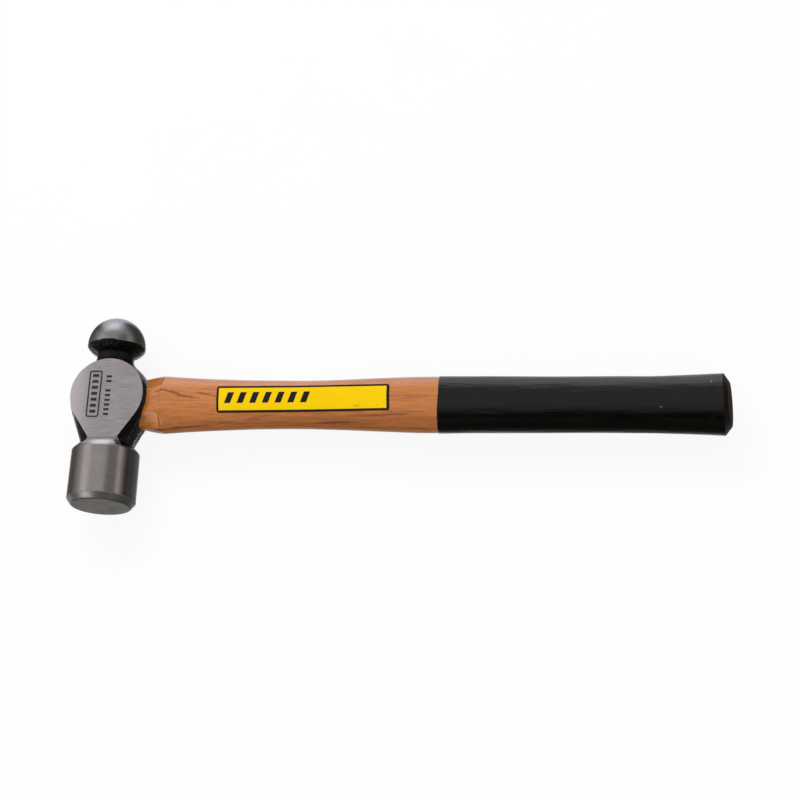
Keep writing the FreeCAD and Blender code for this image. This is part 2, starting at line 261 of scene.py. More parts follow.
def ball_and_lacquer():
    """The polished ball and, below its ragged edge, the black lacquer of the unmachined forging."""
    made, t = material("ball_and_lacquer")
    x, y, z = t.spot()
    ragged = t.noise(t.place((420, 420, 420)), 4, 0.6)
    edge = t.math("MULTIPLY_ADD", ragged, 2.2 * MM, -1.1 * MM)
    edge = t.math("ADD", y, edge)
    bare = t.smooth(edge, BALL_RIM - 0.2 * MM, BALL_RIM + 0.3 * MM)
    # the edges of the cheeks' sweep, ground wider towards the poll
    beside = t.math("ABSOLUTE", t.math("SUBTRACT", x, SWEEP_X))
    lifted = t.math("ABSOLUTE", t.math("SUBTRACT", z, EYE.z))
    swept = t.math("SUBTRACT", EYE.y + FLARE_Y * MM, y)
    narrowed = t.math("MULTIPLY_ADD", swept, -0.5, beside)
    ground = t.smooth(narrowed, 6.6 * MM, 6.9 * MM, 1.0, 0.0)
    ground = t.math("MULTIPLY", ground, t.smooth(lifted, CHEEK - 2.8 * MM, CHEEK - 2.4 * MM))
    ground = t.math("MULTIPLY", ground, t.smooth(swept, 0.0, 0.4 * MM))
    bare = t.math("MAXIMUM", bare, ground)
    fine = t.noise(t.place((900, 900, 900)), 5, 0.65)
    cloud = t.noise(t.place((110, 110, 110)), 4)
    forged = t.noise(t.place((260, 260, 260)), 5, 0.6)
    steel = t.mix(cloud, (0.36, 0.345, 0.34, 1), (0.48, 0.465, 0.46, 1))
    steel = t.mix(t.smooth(fine, 0.4, 0.8, 0.0, 0.3), steel, (0.28, 0.26, 0.25, 1))
    # painted highlight on the ground steel of the sweep, as on the cheeks: brightest in its middle
    # and towards the poll
    middle = t.smooth(beside, 2.0 * MM, 6.5 * MM, 1.0, 0.3)
    painted_highlight = t.math("MULTIPLY", t.smooth(swept, 0.4 * MM, 2.2 * MM), middle)
    steel = t.mix(ground, steel, t.mix(painted_highlight, (0.53, 0.49, 0.485, 1), (0.84, 0.80, 0.80, 1)))
    lacquer = t.mix(forged, (0.0008, 0.0008, 0.0006, 1), (0.0035, 0.0035, 0.0025, 1))
    shiny = t.spread(fine, 0.22, 0.36)
    glossy = t.spread(forged, 0.08, 0.24)
    rough = t.add("Mix", {"Factor": bare, "A": glossy, "B": shiny}, data_type="FLOAT")
    steel_bump = t.bump(fine, 0.03 * MM, 0.3)
    lacquer_bump = t.bump(forged, 1.6 * MM, 0.8)
    # this node's vector sockets are inputs 4 and 5 and output 1
    normal = t.add("Mix", data_type="VECTOR")
    t.put(normal.inputs["Factor"], bare)
    t.put(normal.inputs[4], lacquer_bump)
    t.put(normal.inputs[5], steel_bump)
    t.surface(
        Base_Color=t.mix(bare, lacquer, steel),
        Metallic=bare,
        Roughness=rough.outputs[0],
        Specular_IOR_Level=0.34,
        Normal=normal.outputs[1],
    )
    return made


def hickory(end_grain=False):
    """Clear-lacquered hickory: fibre, pores, rings, and dark streaks where the mesh says so.

    The end grain is the same wood, dark, dull and without lacquer.
    """
    made, t = material("hickory_end" if end_grain else "hickory")
    along = 900 if end_grain else 90
    fibre = t.noise(t.place((along, 900, 900)), 6, 0.65)
    fine = t.noise(t.place((160, 3200, 3200)), 4, 0.6)
    broad = t.noise(t.place((14, 110, 110), shift=(0.3, 0.1, 0.7)), 4, 0.55, 0.4)
    rings = t.noise(t.place((9, 330, 330), shift=(0.7, 0.2, 0.1)), 3, 0.5, 0.6)
    colour = t.ramp(
        broad,
        (0.22, (0.39, 0.108, 0.014)),
        (0.45, (0.49, 0.148, 0.022)),
        (0.62, (0.56, 0.185, 0.032)),
        (0.85, (0.64, 0.250, 0.060)),
    )
    colour = t.mix(t.smooth(rings, 0.50, 0.70, 0.0, 0.6), colour, (0.32, 0.078, 0.010, 1))
    colour = t.mix(t.smooth(fibre, 0.42, 0.68, 0.0, 0.5), colour, (0.28, 0.066, 0.010, 1))
    colour = t.mix(t.smooth(fine, 0.30, 0.55, 0.3, 0.0), colour, (0.68, 0.28, 0.075, 1))
    streak = t.add("Attribute", attribute_name="streak").outputs["Fac"]
    broken = t.math("MULTIPLY_ADD", fibre, 0.9, -0.45)
    streak = t.smooth(t.math("ADD", streak, broken), 0.25, 0.85)
    colour = t.mix(t.math("MULTIPLY", streak, 0.72), colour, (0.15, 0.032, 0.010, 1))
    if end_grain:
        colour = t.mix(0.92, colour, (0.036, 0.022, 0.006, 1))
    smoothest = 0.55 if end_grain else 0.30
    rough = t.spread(fibre, smoothest, smoothest + 0.16)
    t.surface(
        Base_Color=colour,
        Roughness=rough,
        Specular_IOR_Level=0.08 if end_grain else 0.5,
        Coat_Weight=0.0 if end_grain else 1.0,
        Coat_Roughness=0.18,
        Normal=t.bump(fibre, 0.12 * MM, 0.35, t.bump(fine, 0.04 * MM, 0.3)),
    )
    return made


def black_dip():
    """Glossy black dip that has sunk into the grain, with a few scuffs."""
    made, t = material("black_dip")
    grain = t.noise(t.place((110, 1500, 1500)), 6, 0.65, 0.2)
    pores = t.noise(t.place((220, 4200, 4200)), 3, 0.6)
    dulled = t.noise(t.place((60, 300, 300), shift=(0.2, 0.6, 0.4)), 4)
    dull = t.smooth(dulled, 0.35, 0.75)
    colour = t.mix(dull, (0.0006, 0.0006, 0.0003, 1), (0.0018, 0.0017, 0.0010, 1))
    scuff = t.add("Attribute", attribute_name="scuff").outputs["Fac"]
    scuff = t.smooth(t.math("ADD", scuff, t.math("MULTIPLY_ADD", grain, 0.8, -0.4)), 0.35, 0.8)
    colour = t.mix(scuff, colour, (0.20, 0.20, 0.20, 1))
    rough = t.spread(dulled, 0.08, 0.17)
    height = t.math("MULTIPLY_ADD", grain, 0.8, t.math("MULTIPLY", pores, 0.2))
    t.surface(
        Base_Color=colour,
        Roughness=rough,
        Normal=t.bump(height, 0.28 * MM, 0.6),
    )
    return made


def label_film():
    """Printed film. The UV map 'print' is in millimetres from the label's lower left corner."""
    made, t = material("label_film")
    place = t.add("UVMap", uv_map="print").outputs["UV"]
    u, v, _ = t.add("SeparateXYZ", {"Vector": place}).outputs
    # the border, a little wider at the end by the grip
    from_grip = t.math("MULTIPLY", t.math("SUBTRACT", LABEL_LENGTH, u), 0.78)
    from_side = t.math("MINIMUM", v, t.math("SUBTRACT", LABEL_WIDTH, v))
    inset = t.math("MINIMUM", t.math("MINIMUM", u, from_grip), from_side)
    border = t.smooth(inset, 0.92, 1.06, 1.0, 0.0)
    # the row of slanted stripes; each one's middle and half width are in pitches
    slant = t.math("SUBTRACT", u, t.math("MULTIPLY", v, STRIPE_SLANT))
    pitches = t.math("DIVIDE", t.math("SUBTRACT", slant, STRIPES_FROM), STRIPE_PITCH)
    from_bar = t.math("ABSOLUTE", t.math("SUBTRACT", t.math("FRACT", pitches), 0.36))
    bar = t.smooth(from_bar, 0.235, 0.255, 1.0, 0.0)
    from_row = t.math("ABSOLUTE", t.math("SUBTRACT", v, STRIPES_MIDDLE))
    row = t.smooth(from_row, STRIPES_HALF - 0.05, STRIPES_HALF + 0.05, 1.0, 0.0)
    left = t.smooth(slant, STRIPES_FROM - 0.05, STRIPES_FROM + 0.05)
    right = t.smooth(slant, STRIPES_TO - 0.1, STRIPES_TO + 0.1, 1.0, 0.0)
    stripes = t.math("MULTIPLY", t.math("MULTIPLY", bar, row), t.math("MULTIPLY", left, right))
    dark = t.math("MAXIMUM", border, stripes)
    cloud = t.noise(t.place((90, 90, 90)), 3)
    yellow = t.mix(cloud, (0.82, 0.53, 0.002, 1), (0.93, 0.62, 0.004, 1))
    scuff = t.noise(t.place((160, 1400, 1400)), 4, 0.7)
    yellow = t.mix(t.smooth(scuff, 0.72, 0.80, 0.0, 0.7), yellow, (0.62, 0.30, 0.02, 1))
    for along, up, half_length, half_height in LABEL_SCUFFS:
        across = t.math("DIVIDE", t.math("SUBTRACT", u, along), half_length)
        rise = t.math("DIVIDE", t.math("SUBTRACT", v, up), half_height)
        away = t.math("ADD", t.math("MULTIPLY", across, across), t.math("MULTIPLY", rise, rise))
        worn = t.smooth(t.math("ADD", away, scuff), 0.7, 1.5, 0.75, 0.0)
        yellow = t.mix(worn, yellow, (0.55, 0.24, 0.015, 1))
    ink = t.mix(cloud, (0.010, 0.010, 0.012, 1), (0.020, 0.020, 0.024, 1))
    rough = t.spread(cloud, 0.34, 0.46)
    t.surface(
        Base_Color=t.mix(dark, yellow, ink),
        Roughness=rough,
        Specular_IOR_Level=0.05,
        Normal=t.bump(t.noise(t.place((500, 500, 500)), 3), 0.03 * MM, 0.3),
    )
    return made


def mark_ink():
    """The black of the mark on the cheek."""
    made, t = material("cheek_ink")
    worn = t.noise(t.place((1400, 1400, 1400)), 4)
    t.surface(
        Base_Color=t.mix(worn, (0.008, 0.008, 0.008, 1), (0.030, 0.028, 0.027, 1)),
        Roughness=t.spread(worn, 0.45, 0.7),
        Normal=t.bump(worn, 0.02 * MM, 0.3),
    )
    return made


def sawn_wood():
    """The wooden wedge's sawn end."""
    made, t = material("wedge_wood")
    grain = t.noise(t.place((900, 1500, 1500)), 5, 0.6)
    t.surface(
        Base_Color=t.mix(grain, (0.26, 0.13, 0.055, 1), (0.52, 0.32, 0.16, 1)),
        Roughness=t.spread(grain, 0.5, 0.75),
        Normal=t.bump(grain, 0.1 * MM, 0.6),
    )
    return made


def wedge_steel():
    """The steel wedges' ground ends."""
    made, t = material("wedge_steel")
    lines = t.noise(t.place((1200, 300, 2400)), 5, 0.6)
    t.surface(
        Base_Color=t.mix(lines, (0.24, 0.23, 0.23, 1), (0.46, 0.45, 0.45, 1)),
        Metallic=1.0,
        Roughness=t.spread(lines, 0.35, 0.6),
        Normal=t.bump(lines, 0.05 * MM, 0.5),
    )
    return made


# ---------------------------------------------------------------- mesh helpers


def put_in_scene(name, data):
    made = bpy.data.objects.new(name, data)
    bpy.context.scene.collection.objects.link(made)
    return made


def grid_mesh(name, grid, materials, closed=True):
    """A smooth mesh from rows of points, shape (rows, columns, 3). Columns wrap round if closed."""
    rows, columns = grid.shape[:2]
    mesh = bpy.data.meshes.new(name)
    wrap = columns if closed else columns - 1
    i, j = np.meshgrid(np.arange(rows - 1), np.arange(wrap), indexing="ij")
    k = (j + 1) % columns
    faces = np.stack(
        [i * columns + j, i * columns + k, (i + 1) * columns + k, (i + 1) * columns + j], axis=-1
    ).reshape(-1, 4)
    mesh.from_pydata(grid.reshape(-1, 3).tolist(), [], faces.tolist())
    mesh.polygons.foreach_set("use_smooth", [True] * len(mesh.polygons))
    for made in materials:
        mesh.materials.append(made)
    return put_in_scene(name, mesh)


def attribute(piece, name, values):
    """Gives each point of a mesh a value that its material reads."""
    layer = piece.data.attributes.new(name, "FLOAT", "POINT")
    layer.data.foreach_set("value", np.ascontiguousarray(values, np.float32).ravel())


def pchip(xs, ys):
    """A smooth curve through points that doesn't overshoot between them."""
    xs, ys = np.array(xs, float), np.array(ys, float)
    h = np.diff(xs)
    slope = np.diff(ys) / h
    d = np.zeros(len(xs))
    for k in range(1, len(xs) - 1):
        if slope[k - 1] * slope[k] > 0:
            w1, w2 = 2 * h[k] + h[k - 1], h[k] + 2 * h[k - 1]
            d[k] = (w1 + w2) / (w1 / slope[k - 1] + w2 / slope[k])
    d[0], d[-1] = slope[0], slope[-1]

    def curve(x):
        x = np.clip(np.asarray(x, float), xs[0], xs[-1])
        k = np.clip(np.searchsorted(xs, x) - 1, 0, len(h) - 1)
        t = (x - xs[k]) / h[k]
        return (
            ys[k] * (1 + 2 * t) * (1 - t) ** 2
            + h[k] * d[k] * t * (1 - t) ** 2
            + ys[k + 1] * t * t * (3 - 2 * t)
            + h[k] * d[k + 1] * t * t * (t - 1)
        )

    return curve


# ---------------------------------------------------------------- handle shape

# Stations are in poll radii from the eye's centre along the handle. Angles go round it from +Y
# through +Z.
COLUMNS = 240
AROUND = np.linspace(0, 2 * math.pi, COLUMNS, endpoint=False)[None, :]
HALF_HEIGHT = pchip(
    [1.0, 1.55, 2.05, 3.25, 4.45, 5.6, 6.8, 7.95, 9.3, 10.8, 13.1, 15.3, 16.45, 17.7],
    [0.87, 0.85, 0.811, 0.745, 0.704, 0.694, 0.716, 0.766, 0.802, 0.793, 0.78, 0.781, 0.808, 0.857],
)
HALF_THICKNESS = pchip(
    [1.0, 1.62, 2.7, 4.06, 5.65, 7.6, 9.67, 12.8, 15.5, 17.0, 17.7],
    [0.610, 0.592, 0.580, 0.566, 0.560, 0.595, 0.630, 0.635, 0.638, 0.664, 0.688],
)
ROUNDNESS = pchip([0.0, 1.2, 1.9, 3.5, 9.0, 17.7], [2.0, 2.0, 2.3, 2.35, 2.4, 2.35])
# How sharply the taper's flats meet each other and the oval
CREASE = 60.0
# The coating's thickness, and the label's and how far its back is let into the wood
COAT = 0.2 * MM
FILM, LET_IN = 0.12 * MM, 0.02 * MM
CHAMFER_AT = 17.69
END_HEIGHT, END_THICKNESS = 0.636, 0.47
# The end face is sawn a little out of square, so its rim is nearer the head at +Y and at +Z.
END_DOME = 0.15 * MM
END_LEAN_Y, END_LEAN_Z = 0.5 * MM, 0.6 * MM
END_LEAN = math.hypot(END_LEAN_Y, END_LEAN_Z)
CHAMFER_LEAN = 1.05 * MM / R
TENON_HEIGHT, TENON_THICKNESS = 11.25 * MM / R, 7.0 * MM / R
# The head's side away from the handle: its radius in the middle, and where its arc is centred
SIDE_RADIUS, SIDE_Y = 18.2 * MM, 1.8 * MM
SHOULDER = 1.55
# The taper between the head and the shoulder: flats at these angles from +Y, with their
# distance from the axis at the head (x = 1) and how fast they climb towards the shoulder.
FLATS = [
    (0, 0.735, 0.175),
    (180, 0.735, 0.175),
    (90, 0.440, 0.215),
    (270, 0.440, 0.215),
    (128, 0.540, 0.235),
    (52, 0.540, 0.235),
    (232, 0.540, 0.235),
    (308, 0.540, 0.235),
]


def wobble(seed, x, angle, count, along, around):
    """Waves over a tube, added up to between about -1 and 1."""
    rng = np.random.default_rng(seed)
    total = np.zeros(np.broadcast(x, angle).shape)
    for _ in range(count):
        kx = rng.uniform(-along, along)
        m = rng.integers(0, around + 1)
        total += rng.normal() * np.cos(kx * x + m * angle + rng.uniform(0, 2 * math.pi))
    return total / (2.2 * math.sqrt(count / 2))


def stick_radius(x, angle):
    """Distance of the handle's surface from its axis, in poll radii."""
    a, b, n = HALF_HEIGHT(x), HALF_THICKNESS(x), ROUNDNESS(x)
    c, s = np.abs(np.cos(angle)), np.abs(np.sin(angle))
    oval = (c / a) ** n + (s / b) ** n
    total = oval ** (CREASE / n)
    for turn, near, climb in FLATS:
        facing = np.cos(angle - math.radians(turn))
        distance = near + climb * (x - 1.0) + np.clip(x - SHOULDER, 0, None) * 0.6
        total = total + (np.clip(facing, 0, None) / distance) ** CREASE
    return total ** (-1.0 / CREASE)


def head_side(y, z):
    """x of the head's side away from the handle, in metres from the eye's centre.

    The side is an arc in plan, of a smaller radius at the cheeks than in the middle.
    """
    height = np.abs(z) / CHEEK
    radius = SIDE_RADIUS - 1.5 * MM * height
    across = np.clip(radius**2 - (y - SIDE_Y) ** 2, 0, None)
    return 0.3 * MM * height - np.sqrt(across)


def tube_points(x, angle, grow=0.0):
    """Points on the handle's side, in metres, or outside it by grow."""
    radius = stick_radius(x, angle) * R + grow
    radius = radius + 0.06 * MM * wobble(5, x, angle, 24, 2.6, 5)
    along = x * R + EYE.x + 0 * angle
    return np.stack([along, radius * np.cos(angle) + EYE.y, radius * np.sin(angle) + EYE.z], axis=-1)


def leaning(stations, angle):
    """Stations whose last few lean with the butt's chamfer, which starts nearer the head at +Y."""
    share = np.clip(1 - (CHAMFER_AT - stations) / 0.5, 0, 1)
    return stations - share * CHAMFER_LEAN * (1 + np.cos(angle)) / 2


def butt_end():
    """The rim of the end face and the face's middle, in metres."""
    x = BUTT + EYE.x - END_DOME - END_LEAN
    y = END_HEIGHT * R * np.cos(AROUND) + EYE.y
    z = END_THICKNESS * R * np.sin(AROUND) + EYE.z
    rim_x = x - END_LEAN_Y * np.cos(AROUND) - END_LEAN_Z * np.sin(AROUND)
    return np.stack([rim_x[0], y[0], z[0]], axis=-1), np.array([x, EYE.y, EYE.z])


def tenon_end():
    """Rows over the tenon's far end, from near its middle out to its rim, flush with the head."""
    rows = []
    for share in np.linspace(0.02, 1.0, 40):
        y = share * TENON_HEIGHT * R * np.cos(AROUND)
        z = share * TENON_THICKNESS * R * np.sin(AROUND)
        row = np.stack([head_side(y, z) + 0.03 * MM, y, z], axis=-1)[0]
        rows.append(row + np.array(EYE))
    return rows


def tenon_side():
    """Rows along the tenon, which is waisted in the middle of the eye as the eye is."""
    rows = []
    reach = 0.95
    for x in np.linspace(-reach, reach, 8):
        waist = 1 - 0.05 * math.sin(math.pi * (x + reach) / (2 * reach))
        along = np.full(COLUMNS, x * R) + EYE.x
        y = (waist * TENON_HEIGHT * R * np.cos(AROUND) + EYE.y)[0]
        z = (waist * TENON_THICKNESS * R * np.sin(AROUND) + EYE.z)[0]
        rows.append(np.stack([along, y, z], axis=-1))
    return rows


def make_handle(wood, end_wood):
    rows = tenon_end()
    cap_rows = len(rows) - 1
    rows += tenon_side()
    # the side, with closer rows on the taper and its shoulder
    taper = np.linspace(1.0, 1.9, 60, endpoint=False)
    stations = np.concatenate([taper, np.linspace(1.9, CHAMFER_AT, 560)])
    side_from = len(rows)
    side = tube_points(leaning(stations[:, None], AROUND), AROUND)
    rows.extend(side)
    # the chamfer and the end face
    last = side[-1]
    rim, centre = butt_end()
    for share in (0.12, 0.5, 0.88, 1.0):
        rows.append(last + (rim - last) * share)
    end_from = len(rows) - 1
    for share in np.linspace(0.97, 0.02, 26):
        dome = np.array([END_DOME * (1 - share**2), 0, 0])
        rows.append(centre + (rim - centre) * share + dome)
    grid = np.array(rows)
    handle = grid_mesh("hickory_handle", grid, (wood, end_wood))
    is_end = np.zeros((len(rows) - 1, COLUMNS), np.int32)
    is_end[:cap_rows] = 1
    is_end[end_from:] = 1
    handle.data.polygons.foreach_set("material_index", is_end.ravel())
    streak = np.zeros(grid.shape[:2])
    streaks = on_upper_side(STREAKS) + hidden_streaks()
    streak[side_from : side_from + len(stations)] = marked(side, streaks)
    attribute(handle, "streak", streak)
    # kept out of the reflections in the steel, as the label is
    handle.visible_glossy = False
    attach(handle, "root")
    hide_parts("handle")


# Dark streaks in the upper side of the wood: how dark each is, its half width, and its points
# (x, y), in poll radii.
# Many of these rows, those with y near -0.6 to -0.8, run end to end along the lower edge of the upper
# side, so that edge is darker along most of the wood.
STREAKS = [
    (1.00, 0.046, [(1.42, 0.22), (1.66, 0.29), (1.95, 0.20), (2.27, 0.09), (2.76, 0.01)]),
    (0.55, 0.034, [(1.20, -0.04), (1.37, 0.05), (1.75, 0.11)]),
    (0.95, 0.042, [(2.66, 0.20), (2.98, 0.13), (3.28, 0.07)]),
    (0.80, 0.030, [(3.30, -0.66), (3.78, -0.63)]),
    (0.70, 0.026, [(3.76, -0.67), (4.22, -0.63)]),
    (0.60, 0.080, [(4.18, -0.55), (4.43, -0.52), (4.84, -0.47)]),
    (1.00, 0.045, [(1.05, -0.74), (1.36, -0.78), (1.55, -0.81), (2.28, -0.755), (3.30, -0.69)]),
    (0.70, 0.026, [(4.55, -0.69), (5.41, -0.68), (6.10, -0.69)]),
    (0.85, 0.038, [(6.15, -0.65), (6.74, -0.63), (7.45, -0.63)]),
    (0.65, 0.022, [(7.20, -0.72), (8.60, -0.74)]),
    (0.80, 0.026, [(8.85, -0.77), (9.80, -0.77)]),
    (0.52, 0.120, [(7.30, -0.48), (7.76, -0.50), (8.34, -0.44), (8.84, -0.43), (9.22, -0.37)]),
    (0.62, 0.045, [(7.75, -0.48), (8.37, -0.47), (8.92, -0.46)]),
    (0.45, 0.026, [(8.35, 0.30), (9.12, 0.29)]),
]


def upper_point(x, y):
    """The point of the handle's upper side over (x, y), all in poll radii."""
    angle = np.full(np.broadcast(x, y).shape, math.pi / 2)
    # the radius depends on the angle, so both are found together in steps
    for _ in range(16):
        angle = np.arccos(np.clip(y / stick_radius(x, angle), -0.9999, 0.9999))
    radius = stick_radius(x, angle)
    return np.stack([x + 0 * angle, radius * np.cos(angle), radius * np.sin(angle)], axis=-1)


def hidden_streaks():
    """Streaks of the same kind round the other sides, which the photo doesn't show."""
    rng = np.random.default_rng(31)
    made = []
    for _ in range(46):
        x, length = rng.uniform(1.3, 9.4), rng.uniform(0.3, 1.1)
        angle = math.radians(rng.uniform(200, 378))
        slope = math.radians(rng.uniform(-8, 8))
        depth, width = rng.uniform(0.4, 0.85), rng.choice([0.024, 0.03, 0.036, 0.08])
        points = []
        for step in np.linspace(0, 1, 4):
            here, turn = x + step * length, angle + slope * step
            radius = float(stick_radius(here, turn))
            points.append((here, radius * math.cos(turn), radius * math.sin(turn)))
        made.append((depth, width, points))
    return made


def on_upper_side(lines):
    """The same lines with their points lifted to the handle's upper side."""
    return [(d, w, [tuple(upper_point(x, y)) for x, y in line]) for d, w, line in lines]


def marked(points, lines):
    """How strongly each point of the handle's side is marked by the lines near it."""
    spot = (points - np.array(EYE)) / R
    total = np.zeros(spot.shape[:-1])
    for number, (depth, width, line) in enumerate(lines):
        near = np.abs(spot[:, 0, 0] - np.mean([p[0] for p in line])) < 1.6
        part = spot[near]
        nearest = np.full(part.shape[:-1], 9.0)
        share = np.zeros(part.shape[:-1])
        steps = len(line) - 1
        for k in range(steps):
            a, b = np.array(line[k]), np.array(line[k + 1])
            run = b - a
            t = np.clip(((part - a) @ run) / (run @ run), 0, 1)
            away = part - a - t[..., None] * run
            # distance along the handle, where the grain runs, counts for less
            distance = np.sqrt((0.35 * away[..., 0]) ** 2 + away[..., 1] ** 2 + away[..., 2] ** 2)
            closer = distance < nearest
            nearest = np.where(closer, distance, nearest)
            share = np.where(closer, (k + t) / steps, share)
        taper = np.clip(4 * np.minimum(share, 1 - share), 0.12, 1) ** 0.5
        ragged = 1 + 0.35 * np.sin(23 * part[..., 0] + number) * np.sin(9.7 * part[..., 0] + 2)
        dark = depth * np.exp(-((nearest / (width * taper * ragged)) ** 2))
        total[near] = np.maximum(total[near], dark)
    return total


# Scuffs in the black dip, written as the streaks are.
SCUFFS = [
    (1.0, 0.018, [(17.29, 0.40), (17.32, 0.47), (17.30, 0.53)]),
    (1.0, 0.022, [(15.80, -0.27), (15.92, -0.28), (16.05, -0.275)]),
    (0.5, 0.015, [(12.10, 0.42), (12.35, 0.41)]),
    (0.5, 0.015, [(14.60, 0.52), (14.66, 0.45)]),
]


def make_coating(dip):
    """The dip, from its edge, which is a little tilted and uneven, to just over the end's rim."""
    start = DIP_EDGE / R
    stations = np.linspace(start, CHAMFER_AT, 420)[:, None]
    tilt = (0.65 * np.sin(AROUND) + 0.02 * np.cos(AROUND) - 0.2) * MM / R
    uneven = start + tilt + 0.006 * wobble(9, 0.0, AROUND, 8, 0.0, 5)
    # the edge's unevenness fades out along the side, and the relief fades in
    blend = np.clip(1 - (stations - start) / 0.3, 0, 1)
    stations = stations + blend * (uneven - start)
    # the rounded edge, from inside the wood up to the coat's full thickness
    rows = []
    for grow, step in ((-0.25, 0.0), (0.3, -0.002), (0.75, 0.0), (1.0, 0.004)):
        rows.append(tube_points(stations[0] + step, AROUND, grow * COAT)[0])
    # the side, with the relief of the grain under it
    relief = 0.035 * MM * wobble(21, stations, AROUND, 40, 5.0, 26)
    side = tube_points(leaning(stations, AROUND), AROUND, COAT)
    outward = side - np.array([0, EYE.y, EYE.z])
    outward[..., 0] = 0
    outward /= np.linalg.norm(outward, axis=-1, keepdims=True)
    side = side + outward * relief[..., None] * (1 - blend)[..., None]
    rows.extend(side[2:])
    # the chamfer, its rim a little outside the wood's, and the edge turned in behind the end face
    last = side[-1]
    rim, centre = butt_end()
    proud = (rim - centre) * (1 + 0.15 * MM / (0.5 * R)) + centre
    for share in (0.06, 0.15, 0.5, 0.9, 1.0):
        rows.append(last + (proud - last) * share)
    rows.append(centre + (rim - centre) * 0.97 - np.array([0.1 * MM, 0, 0]))
    grid = np.array(rows)
    coating = grid_mesh("grip_dip", grid, (dip,))
    attribute(coating, "scuff", marked(grid, on_upper_side(SCUFFS)))
    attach(coating, "root")
    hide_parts("grip_coating")


# ---------------------------------------------------------------- label

# In mm: where it starts along the handle, its size, its middle across, and its corners' radius
LABEL_START = 50.5
LABEL_LENGTH = 77.5
LABEL_WIDTH = 12.2
LABEL_MIDDLE = -0.1
LABEL_CORNER = 1.1
# It isn't stuck on quite straight.
LABEL_TURN = math.radians(0.6)
LABEL_SKEW = -0.045
# The stripes, in mm from its lower left corner, and how much they lean
STRIPES_FROM, STRIPES_TO = 1.35, 41.0
STRIPES_MIDDLE, STRIPES_HALF = 6.6, 2.5
STRIPE_PITCH = 5.7
STRIPE_SLANT = 0.35
# Worn spots: the middle and the half sizes, in mm
LABEL_SCUFFS = ((62.9, 2.15, 1.9, 0.42), (72.1, 2.4, 0.7, 0.28))


def make_label(film):
    """The film, laid over the handle's side. u runs along it and v across it, in mm."""
    u = np.linspace(0, LABEL_LENGTH, 320)[:, None]
    v = np.linspace(0, LABEL_WIDTH, 60)[None, :]
    # rounded corners: the end rows are squeezed
    from_end = np.clip(LABEL_CORNER - np.minimum(u, LABEL_LENGTH - u), 0, None)
    inset = LABEL_CORNER - np.sqrt(np.clip(LABEL_CORNER**2 - from_end**2, 0, None))
    squeeze = (LABEL_WIDTH / 2 - inset) / (LABEL_WIDTH / 2)
    local_v = (v - LABEL_WIDTH / 2) * squeeze
    x = LABEL_START + u * math.cos(LABEL_TURN) - local_v * (math.sin(LABEL_TURN) - LABEL_SKEW)
    y = LABEL_MIDDLE + u * math.sin(LABEL_TURN) + local_v * math.cos(LABEL_TURN)
    x, y = x * MM / R, y * MM / R
    place = upper_point(x, y)
    angle = np.arctan2(place[..., 2], place[..., 1])
    grid = tube_points(x, angle, FILM)
    under = tube_points(x, angle, -LET_IN)
    label = grid_mesh("yellow_label", grid, (film,), closed=False)
    skirt(label, grid, under)
    layer = label.data.uv_layers.new(name="print")
    spots = np.stack([u + 0 * v, local_v + LABEL_WIDTH / 2], axis=-1).reshape(-1, 2)
    loops = np.array([loop.vertex_index for loop in label.data.loops]) % len(spots)
    layer.data.foreach_set("uv", spots[loops].astype(np.float32).ravel())
    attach(label, "root")
    # kept out of the reflections in the steel
    label.visible_glossy = False
    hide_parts("label")


def skirt(piece, top, under):
    """Gives a sheet its thickness: the lower layer and the four edges."""
    rows, columns = top.shape[:2]
    count = rows * columns
    mesh = piece.data
    points = [tuple(v.co) for v in mesh.vertices] + under.reshape(-1, 3).tolist()
    faces = [tuple(p.vertices) for p in mesh.polygons]
    faces += [tuple(count + i for i in reversed(f)) for f in list(faces)]
    ring = list(range(columns))
    ring += [i * columns + columns - 1 for i in range(1, rows)]
    ring += [(rows - 1) * columns + j for j in range(columns - 2, -1, -1)]
    ring += [i * columns for i in range(rows - 2, 0, -1)]
    for a, b in zip(ring, ring[1:] + ring[:1]):
        faces.append((a, a + count, b + count, b))
    mesh.clear_geometry()
    mesh.from_pydata(points, [], faces)
    mesh.polygons.foreach_set("use_smooth", [True] * len(mesh.polygons))


# ---------------------------------------------------------------- head

# The forging's finishes, in the order of its materials
REST, CHEEKS, POLL, FACE = range(4)
# Where the poll and the face's chamfer begin, in mm from the eye
POLL_Y, CHAMFER_Y = -21.9, -44.4
# The map called grind is there for the direction it gives, so its scale is free.
GRIND_PER_METRE = 20


def finish_of(polygon):
    """Which of the four finishes a face of the forging has."""
    middle = (polygon.center - EYE) / MM
    height = abs(middle.z) - CHEEK / MM
    flat = abs(polygon.normal.z) > 0.9995 and abs(height) < 0.02
    from_arc = abs(math.hypot(middle.y - FLARE_Y, height - FLARE_RADIUS) - FLARE_RADIUS)
    swept = from_arc < 0.06 and middle.y < FLARE_Y and abs(middle.x) < 13
    if flat or (swept and abs(polygon.normal.x) < 0.05):
        return CHEEKS
    if middle.y < CHAMFER_Y:
        return FACE
    if middle.y < POLL_Y:
        return POLL
    return REST


